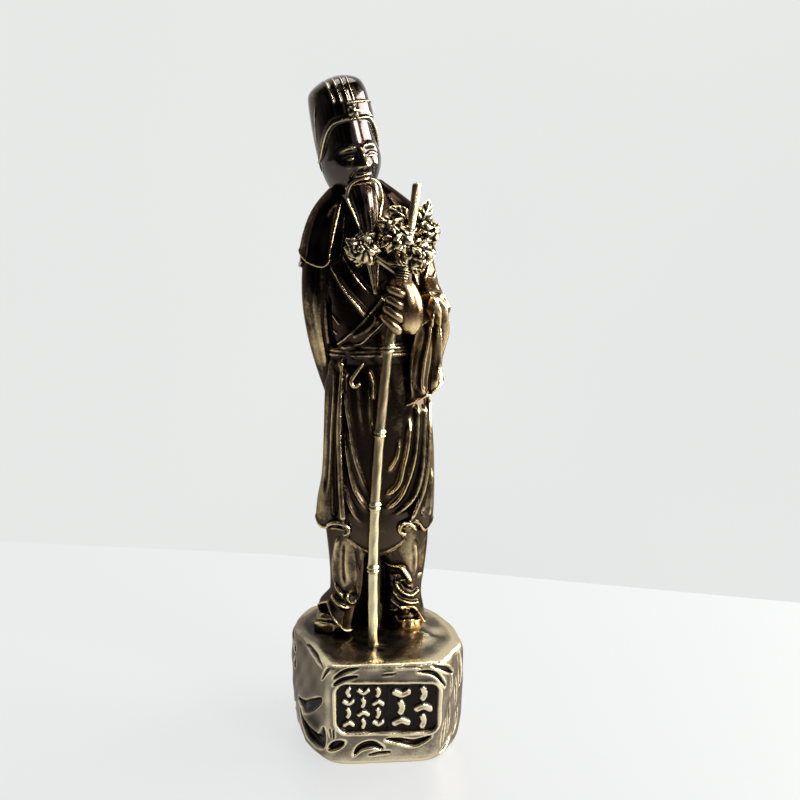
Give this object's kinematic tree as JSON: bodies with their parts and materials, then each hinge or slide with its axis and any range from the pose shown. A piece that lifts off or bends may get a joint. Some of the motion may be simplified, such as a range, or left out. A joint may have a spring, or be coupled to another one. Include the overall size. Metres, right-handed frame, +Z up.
{
  "type": "medicine god figure",
  "caption": "Cast copper-alloy figure of a standing herb healer in a tall cap, with a bamboo staff and blossoms, on a rounded plinth.",
  "frame": {"origin": "middle of the plinth's flat underside", "axes": "+Z up along the figure, -Y to the front of the plinth with its sunk panel, +X to the viewer's right"},
  "size_m": [0.0516, 0.0578, 0.2006],
  "materials": {
    "plinth_metal": "cast copper alloy with a dark patina, rubbed pale gold on the top and on the edges",
    "figure_metal": "glossy dark brown patina on cast copper alloy, rubbed bright on the ridges",
    "staff_metal": "cast copper alloy, rubbed bright gold below and dark between the petals"
  },
  "bodies": {
    "root": {"plinth": "plinth_metal", "figure": "figure_metal", "herb_staff": "staff_metal"}
  },
  "joints": []
}
